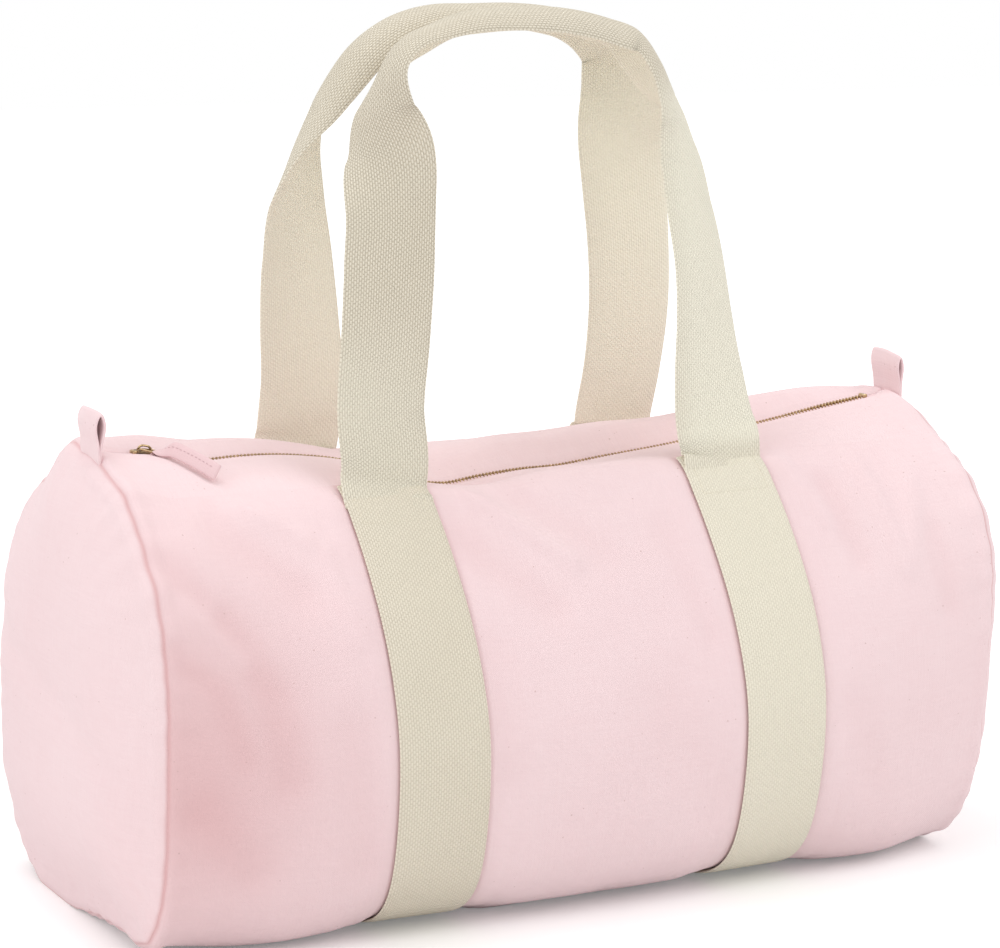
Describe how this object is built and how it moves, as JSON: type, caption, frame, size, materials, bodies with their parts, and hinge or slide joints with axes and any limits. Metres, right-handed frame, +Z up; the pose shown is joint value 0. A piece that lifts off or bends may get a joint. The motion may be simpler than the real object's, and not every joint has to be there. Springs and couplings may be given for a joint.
{
  "type": "duffel_bag",
  "caption": "Canvas barrel bag with round ends, cream webbing handles sewn round the body, a sagging metal zip along the top and a small cloth loop at each end.",
  "frame": {"origin": "On the floor, under the middle of the bag.", "axes": "+X runs along the bag towards the zip's fixed end, -Y is the front, +Z is up."},
  "size_m": [0.5452, 0.292, 0.4837],
  "materials": {
    "canvas": "plain woven cotton canvas",
    "webbing": "heavy woven cotton webbing",
    "zip_tape": "woven tape",
    "thread": "sewing thread",
    "antique_brass": "dark antique brass"
  },
  "bodies": {
    "bag_body": {"body_panel": "canvas", "end_panel_left": "canvas", "end_panel_right": "canvas", "seam_binding_left": "zip_tape", "seam_binding_right": "zip_tape", "zip_end_left": "zip_tape", "zip_end_right": "zip_tape", "zip_bottom_stop": "antique_brass", "webbing_band_left": "webbing", "webbing_band_right": "webbing", "attach_stitch_front_left": "thread", "attach_stitch_front_right": "thread", "attach_stitch_rear_left": "thread", "attach_stitch_rear_right": "thread", "side_tab_left": "canvas", "side_tab_right": "canvas"},
    "mouth_front": {"mouth_flap_front": "canvas", "zip_tape_front": "zip_tape", "zip_teeth_front": "antique_brass", "zip_top_stop_front": "antique_brass"},
    "mouth_rear": {"mouth_flap_rear": "canvas", "zip_tape_rear": "zip_tape", "zip_teeth_rear": "antique_brass", "zip_top_stop_rear": "antique_brass"},
    "slider": {"zip_slider": "antique_brass", "slider_bridge": "antique_brass"},
    "ring": {"pull_ring": "antique_brass"},
    "pull": {"pull_tab": "canvas"},
    "front_handle": {"handle_front": "webbing"},
    "rear_handle": {"handle_rear": "webbing"}
  },
  "joints": [
    {"name": "mouth_open", "type": "hinge", "parent": "bag_body", "child": "mouth_front", "pos_m": [0, -0.057, 0.234], "axis": [1, 0, 0], "range_deg": [0, 70]},
    {"name": "mouth_open_rear", "type": "hinge", "parent": "bag_body", "child": "mouth_rear", "pos_m": [0, 0.057, 0.234], "axis": [-1, 0, 0], "range_deg": [0, 70]},
    {"name": "slider_run", "type": "hinge", "parent": "mouth_front", "child": "slider", "pos_m": [0, 0, 1.29907], "axis": [0, -1, 0], "range_deg": [0, 22.94]},
    {"name": "ring_lift", "type": "hinge", "parent": "slider", "child": "ring", "pos_m": [-0.21373, 0, 0.24786], "axis": [-0.8652, -0.4695, 0.1759], "range_deg": [0, 170]},
    {"name": "pull_swing", "type": "hinge", "parent": "ring", "child": "pull", "pos_m": [-0.20934, -0.00839, 0.24705], "axis": [-0.8652, -0.4695, 0.1759], "range_deg": [0, 100]},
    {"name": "front_handle_drop", "type": "hinge", "parent": "bag_body", "child": "front_handle", "pos_m": [0, -0.06226, 0.23491], "axis": [1, 0, 0], "range_deg": [0, 110]},
    {"name": "rear_handle_drop", "type": "hinge", "parent": "bag_body", "child": "rear_handle", "pos_m": [0, 0.06226, 0.23491], "axis": [-1, 0, 0], "range_deg": [0, 110]}
  ],
  "couplings": [
    {"joint": "mouth_open_rear", "follows": "mouth_open", "ratio": 1},
    {"joint": "slider_run", "follows": "mouth_open", "ratio": 0.326},
    {"joint": "ring_lift", "follows": "mouth_open", "ratio": 2.4}
  ]
}
